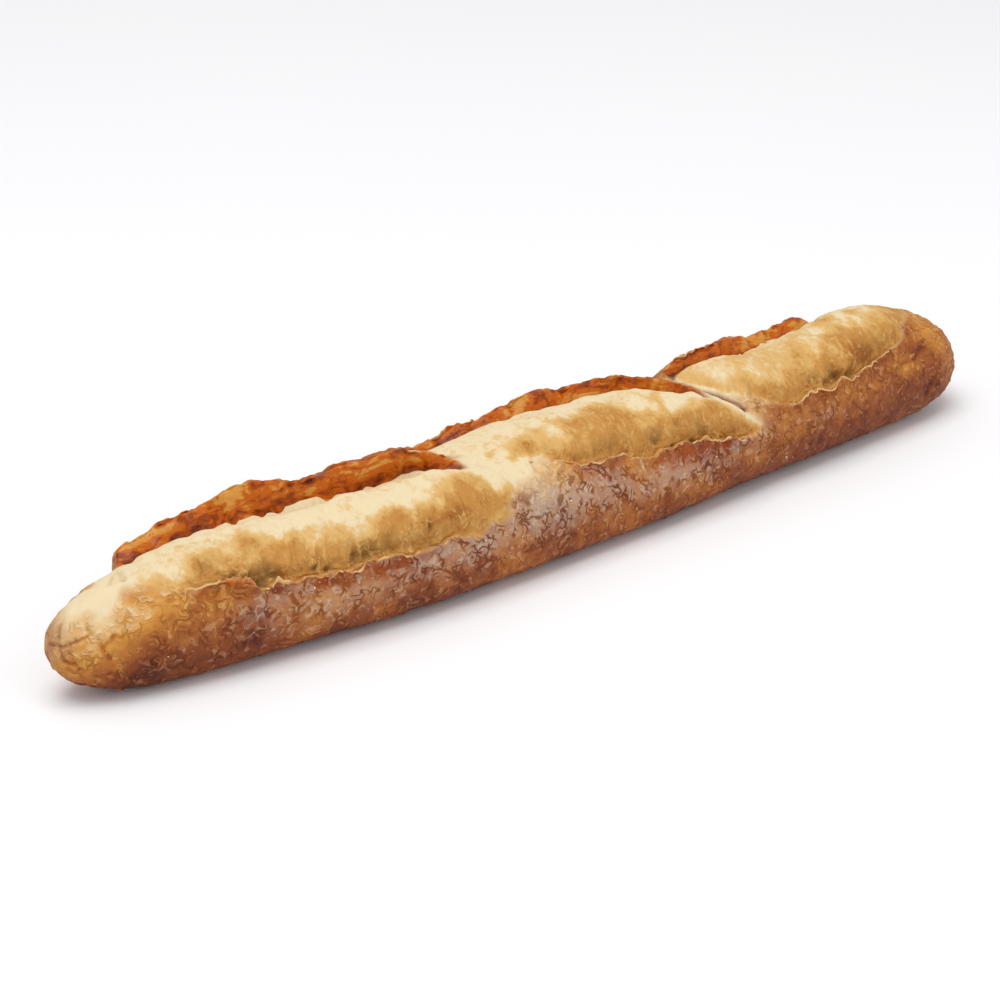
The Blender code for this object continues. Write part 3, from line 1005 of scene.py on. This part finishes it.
class BAGUETTE_OT_crust(bpy.types.Operator):
    """Add the loaf's crust with its lips and ears, over the CAD solid"""

    bl_idname = "baguette.crust"
    bl_label = "Crust"

    def execute(self, context):
        sizes = context.scene.loaf_sizes
        deselect_all()
        bpy.ops.mesh.primitive_uv_sphere_add(segments=LINES, ring_count=RINGS, radius=sizes.high / 2)
        piece = added("crust")
        mesh = piece.data
        x, y, z = read_points(mesh).T / (sizes.high / 2)
        ring = np.rint(np.arccos(np.clip(z, -1, 1)) / np.pi * RINGS).astype(int)
        line = np.rint(np.arctan2(y, x) / (2 * np.pi) * LINES).astype(int) % LINES
        at = ring, line

        xs = ring_places(sizes)
        skin = Skin(sizes, xs)
        q = line_places(sizes, skin)
        lift, shift = crust_relief(sizes, xs, q)
        marks = crust_marks(xs, q)
        folds = grain(xs[:, None], q, 10, 20, 2.2) + 0.5 * grain(xs[:, None], q, 4.5, 7, 3.3)
        shift = shift + sizes.ear_fold * marks.ear * smooth(0, 0.5, marks.up) * folds
        write_points(mesh, skin.place(q, lift, shift)[at])

        surface = read_points(mesh)
        out = sizes.blister * roughness(xs[:, None], q, marks)[at]
        out = out * smooth(0.5 * MM, 4 * MM, surface[:, 2])
        creased = np.zeros(len(surface))
        for crease in CREASES:
            path = on_crust(sizes, np.array(crease.points) * MM)
            near = hump(distance_to_path(surface, path), crease.width * MM)
            out = out - crease.depth * MM * near
            # Creases are darkened with painted shade in the fold.
            creased = np.maximum(creased, near * crease.bake)
        moved = surface + read_points(mesh, "vertex_normals", "vector") * out[:, None]
        moved[:, 2] = np.maximum(moved[:, 2], 0)
        write_points(mesh, moved)

        bake, flour, orange = skin_colours(sizes, xs, q, marks)
        # The crumb's cream gives way in the creases, so their painted shade shows.
        crumb = marks.crumb[at] * (1 - np.minimum(creased, 1))
        store(mesh, bake=bake[at] + creased, flour=flour[at], orange=orange[at], crumb=crumb)
        store(mesh, ear=marks.ear[at], up=marks.up[at], gold=marks.gold[at])
        store_places(mesh, xs[ring], q[at])
        finish_piece(piece, crust_material(context.scene))
        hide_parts(NODE)
        return {"FINISHED"}


CRUMB_COLUMNS = 400
CRUMB_ROWS = 116
CRUMB_THICK = 1.4 * MM
CRUMB_UNDER_LIP = 1.6 * MM
CRUMB_UNDER_EAR = 2.4 * MM
CRUMB_SINK = 3 * MM  # how deep the sheet dives under skin that only stretched
CRUMB_TIP = 0.985  # the sheet ends just short of the cut's tips
LEDGE = 0.7 * MM  # height of the torn steps near a lip


def torn_relief(sizes, cut, q):
    """Strands and torn ledges low down, and a smooth, gently waved top."""
    inside, across, seed = q - cut.lip, cut.across(q), cut.cut.seed
    leaning = cut.x + 0.3 * inside * np.sin(cut.x / (38 * MM) + seed)
    strands = grain(leaning, q, 4.6, 17, seed) + 0.5 * grain(leaning, q, 2.2, 8, seed + 7)
    where = smooth(-0.2, 0.5, cut.grain(q, 20, 16, 12) + 0.1) * (1 - smooth(0.3, 0.62, across))
    waves = 1.1 * cut.grain(q, 13, 15, 4) + 0.4 * cut.grain(q, 5, 5, 13)
    layers = 2.5 * (grain(leaning, q, 12, 5, seed + 14) + 0.5 * across)
    steps = np.floor(layers) + smooth(0.75, 1, layers - np.floor(layers))
    ledges = (steps - layers) * (1 - smooth(4 * MM, 16 * MM, inside)) * cut.torn
    return sizes.strand * (strands * (0.12 + 0.88 * where) + 0.7 * waves) + LEDGE * ledges


def add_sheet(sizes, shape, material):
    piece, at = add_grid(f"crumb_{shape.name}", CRUMB_COLUMNS, CRUMB_ROWS)
    xs = shape.middle + np.linspace(-CRUMB_TIP, CRUMB_TIP, CRUMB_COLUMNS + 1) * shape.reach
    cut = Opening(shape, xs)
    low = cut.lip - CRUMB_UNDER_LIP
    high = np.maximum(cut.rim - CRUMB_UNDER_EAR, low + 0.5 * MM)
    q = low + np.linspace(0, 1, CRUMB_ROWS + 1) * (high - low)

    gold, hollow = cut.tones(q)
    pits = spots(PITS, cut.x, q)
    under_lip = 1.6 * MM * (1 - smooth(0, 2.5 * MM, q - cut.lip))
    under_skin = 1 - smooth(0, 0.45, cut.torn)
    under_back = (1 - cut.stands) * smooth(-2 * MM, 2 * MM, q - cut.rim + CLOSED_OVER)
    lift = cut.full * cut.bloom(sizes, q) + torn_relief(sizes, cut, q)
    lift = lift - under_lip - CRUMB_SINK * (under_skin + under_back)
    lift = lift - 3 * MM * hollow - 2 * MM * pits
    write_points(piece.data, Skin(sizes, xs).place(q, lift, 0 * q)[at])

    # hollow sinks the sheet and sets the painted olive shade in pockets and pits.
    store(piece.data, gold=(gold + 0.2 * pits)[at], hollow=np.clip(hollow + 1.2 * pits, 0, 1.3)[at])
    store_places(piece.data, xs[at[0]], q[at])
    thicken(piece, CRUMB_THICK, -1)
    finish_piece(piece, material)


class BAGUETTE_OT_crumb(bpy.types.Operator):
    """Add the sheet of torn crumb in each cut"""

    bl_idname = "baguette.crumb"
    bl_label = "Torn crumb"

    def execute(self, context):
        material = crumb_material(context.scene)
        for cut in CUTS:
            add_sheet(context.scene.loaf_sizes, cut, material)
        return {"FINISHED"}


EDGE_COLUMNS = 420
EDGE_ROWS = 9
EDGE_THICK = 0.6 * MM
EDGE_ROOT = 2 * MM  # how deep the flakes begin, under the crust
EDGE_TIP = 0.97  # they end just short of the cut's tips


def lip_flakes(sizes, cut, t):
    """Curled flakes that stand where the lip tore, and lie under the skin elsewhere."""
    lumps = 0.5 + 0.7 * cut.wander(11, 20) + 0.4 * cut.wander(4, 21)
    stand = cut.along("frill") * MM * np.clip(lumps, -0.4, 1.1) - 0.5 * MM
    foot = sizes.lip_rise * cut.full - EDGE_ROOT - 1.2 * MM * (1 - cut.torn)
    q = cut.lip - 0.8 * MM + t**2 * (0.5 + 0.7 * cut.wander(12, 22)) * (stand + MM)
    lift = foot + t * (EDGE_ROOT + stand)
    amber = smooth(-0.2, 0.4, cut.wander(16, 23))
    return q, lift, 0 * lift, t**1.2 * (0.95 - 0.45 * amber), 0.55 + 0 * lift


def ear_flakes(sizes, cut, t):
    """A thin rolled rim with a few burnt curls."""
    curls = smooth(0.1, 0.9, cut.wander(13, 24) + 0.3 * cut.wander(5, 25))
    stand = 1.5 * MM * curls * smooth(2 * MM, 6 * MM, cut.height) - 0.5 * MM
    q = cut.rim + 0.5 * MM - t**2 * (0.4 + 0.6 * cut.wander(14, 26)) * (stand + MM)
    lift = cut.height - EDGE_ROOT + t * (EDGE_ROOT + stand)
    # Pale patches towards the tip, and up rising to the tip, paint a highlight along the ear's rim.
    light = smooth(0.2, 0.7, cut.wander(19, 27))
    return q, lift, EAR_LEAN * lift, 0.75 * light * t, 0.6 + 0.4 * t + 0 * lift


def add_strip(sizes, shape, kind, flakes):
    piece, at = add_grid(f"{kind}_{shape.name}", EDGE_COLUMNS, EDGE_ROWS)
    xs = shape.middle + np.linspace(-EDGE_TIP, EDGE_TIP, EDGE_COLUMNS + 1) * shape.reach
    cut = Opening(shape, xs)
    t = np.linspace(0, 1, EDGE_ROWS + 1)[None, :]
    q, lift, shift, pale, up = flakes(sizes, cut, t)
    q = q + 0.6 * MM * cut.grain(lift, 3.6, 6, 30) * t
    write_points(piece.data, Skin(sizes, xs).place(q, lift, shift)[at])
    store(piece.data, pale=pale[at], up=up[at])
    thicken(piece, EDGE_THICK, 0)
    return piece


class BAGUETTE_OT_edges(bpy.types.Operator):
    """Add the thin torn flakes along the lips and along the ears"""

    bl_idname = "baguette.edges"
    bl_label = "Torn edges"

    def execute(self, context):
        sizes = context.scene.loaf_sizes
        material = edge_material(context.scene)
        for kind, flakes in (("lip", lip_flakes), ("ear", ear_flakes)):
            strips = [add_strip(sizes, cut, kind, flakes) for cut in CUTS]
            deselect_all()
            for strip in strips:
                strip.select_set(True)
            joined = strips[0]
            bpy.context.view_layer.objects.active = joined
            bpy.ops.object.join()
            joined.name = f"{kind}_flakes"
            finish_piece(joined, material)
        return {"FINISHED"}


FLOUR_GRAINS = 240
FLOUR_SEED = 7
FLOUR_LONG = (-250 * MM, 262 * MM)  # x between which grains fall
FLOUR_ROUND = (-66 * MM, -8 * MM)  # q between which they fall


def in_cut(x, q):
    """Whether a place lies between a cut's lip and its rim."""
    return any(abs(cut.s) < 1 and cut.lip < q < cut.rim for cut in openings(np.array([x])))


class BAGUETTE_OT_flour(bpy.types.Operator):
    """Add loose grains and clots of flour that stuck to the crust"""

    bl_idname = "baguette.flour"
    bl_label = "Flour"

    def execute(self, context):
        deselect_all()
        bpy.ops.mesh.primitive_ico_sphere_add(subdivisions=1, radius=0.5)
        piece = added("flour_grains")
        chance = np.random.default_rng(FLOUR_SEED)
        places = []
        while len(places) < FLOUR_GRAINS:
            x, q = chance.uniform(*FLOUR_LONG), chance.uniform(*FLOUR_ROUND)
            keep = 0.12 + spots(FLOUR_PATCHES, x, np.array(q))
            if chance.random() < keep and not in_cut(x, q):
                places.append((x, q))
        mesh = bmesh.new()
        for centre in on_crust(context.scene.loaf_sizes, np.array(places)):
            size = chance.uniform(0.25, 0.7) * MM * (1 + (chance.random() < 0.06))
            turn = Matrix.Rotation(chance.uniform(0, 2 * np.pi), 4, "Z")
            turn = turn @ Matrix.Rotation(chance.random(), 4, "X")
            squash = Matrix.Diagonal((1, chance.uniform(0.6, 1), chance.uniform(0.5, 0.9), 1))
            before = len(mesh.verts)
            mesh.from_mesh(piece.data)
            mesh.verts.ensure_lookup_table()
            matrix = Matrix.Translation(centre) @ turn @ squash @ Matrix.Scale(size, 4)
            bmesh.ops.transform(mesh, matrix=matrix, verts=mesh.verts[before:])
        mesh.to_mesh(piece.data)
        mesh.free()
        finish_piece(piece, flour_material(context.scene))
        return {"FINISHED"}


# ---------------- stage

AIM = Vector((-0.0309, CENTRE_SHIFT, 0.0224))  # the point that the camera looks at
FLOOR_SIZE = 12


def add_floor(look):
    deselect_all()
    bpy.ops.mesh.primitive_plane_add(size=FLOOR_SIZE)
    floor = added("floor")
    material, tree = new_material("floor")
    patchy = tree.span(tree.cloud(tree.object_places(), 3.0), 0.2, 0.8, 0.0, 0.25)
    tree.dress(tree.mix(patchy, look.floor, (0.95, 0.95, 0.95)), 0.8)
    floor.data.materials.append(material)


def add_lights(scene, look):
    scene.world = bpy.data.worlds.new("studio")
    scene.world.use_nodes = True
    sky = scene.world.node_tree.nodes["Background"]
    sky.inputs["Color"].default_value = (1, 1, 1, 1)
    sky.inputs["Strength"].default_value = look.sky
    for name, place, size, watts in (
        ("key", Vector((-0.7, -0.1, 3.2)), 2.4, look.key),
        ("fill", Vector((0.3, -1.5, 0.9)), 1.2, look.fill),
    ):
        deselect_all()
        bpy.ops.object.light_add(type="AREA", location=place)
        light = bpy.context.object
        light.name = name
        light.data.energy = watts
        light.data.size = size
        light.rotation_euler = place.to_track_quat("Z", "Y").to_euler()


def add_camera(scene, look):
    level = math.cos(look.rise)
    back = Vector((math.sin(look.turn) * level, -math.cos(look.turn) * level, math.sin(look.rise)))
    deselect_all()
    bpy.ops.object.camera_add(location=AIM + back * look.away)
    camera = bpy.context.object
    camera.name = "camera"
    camera.rotation_euler = back.to_track_quat("Z", "Y").to_euler()
    camera.data.lens = look.lens
    camera.data.sensor_width = 36
    scene.camera = camera


class BAGUETTE_OT_stage(bpy.types.Operator):
    """Add the floor, the lights and the camera"""

    bl_idname = "baguette.stage"
    bl_label = "Stage"

    def execute(self, context):
        look = context.scene.stage_look
        add_floor(look)
        add_lights(context.scene, look)
        add_camera(context.scene, look)
        context.scene.view_settings.view_transform = "Standard"
        return {"FINISHED"}


# ---------------- add-on

GROUPS = {
    "loaf_sizes": LoafSizes,
    "crust_look": CrustLook,
    "ear_look": EarLook,
    "crumb_look": CrumbLook,
    "stage_look": StageLook,
}
PIECES = (BAGUETTE_OT_crust, BAGUETTE_OT_crumb, BAGUETTE_OT_edges, BAGUETTE_OT_flour)
OPERATORS = (*PIECES, BAGUETTE_OT_stage)


class BAGUETTE_PT_panel(bpy.types.Panel):
    """Everything that makes up the baguette"""

    bl_label = "Baguette"
    bl_idname = "BAGUETTE_PT_panel"
    bl_space_type = "VIEW_3D"
    bl_region_type = "UI"
    bl_category = "Baguette"

    def draw(self, context):
        for operator in OPERATORS:
            self.layout.operator(operator.bl_idname)
        for name in GROUPS:
            settings = getattr(context.scene, name)
            box = self.layout.box()
            box.label(text=name.replace("_", " ").capitalize())
            for field in settings.__annotations__:
                box.prop(settings, field)


CLASSES = (*GROUPS.values(), *OPERATORS, BAGUETTE_PT_panel)


def register():
    for kind in CLASSES:
        bpy.utils.register_class(kind)
    for name, kind in GROUPS.items():
        setattr(bpy.types.Scene, name, PointerProperty(type=kind))


def unregister():
    for name in GROUPS:
        delattr(bpy.types.Scene, name)
    for kind in reversed(CLASSES):
        bpy.utils.unregister_class(kind)


def main():
    register()
    bpy.ops.baguette.crust()
    bpy.ops.baguette.crumb()
    bpy.ops.baguette.edges()
    bpy.ops.baguette.flour()
    bpy.ops.baguette.stage()


if __name__ == "__main__":
    main()
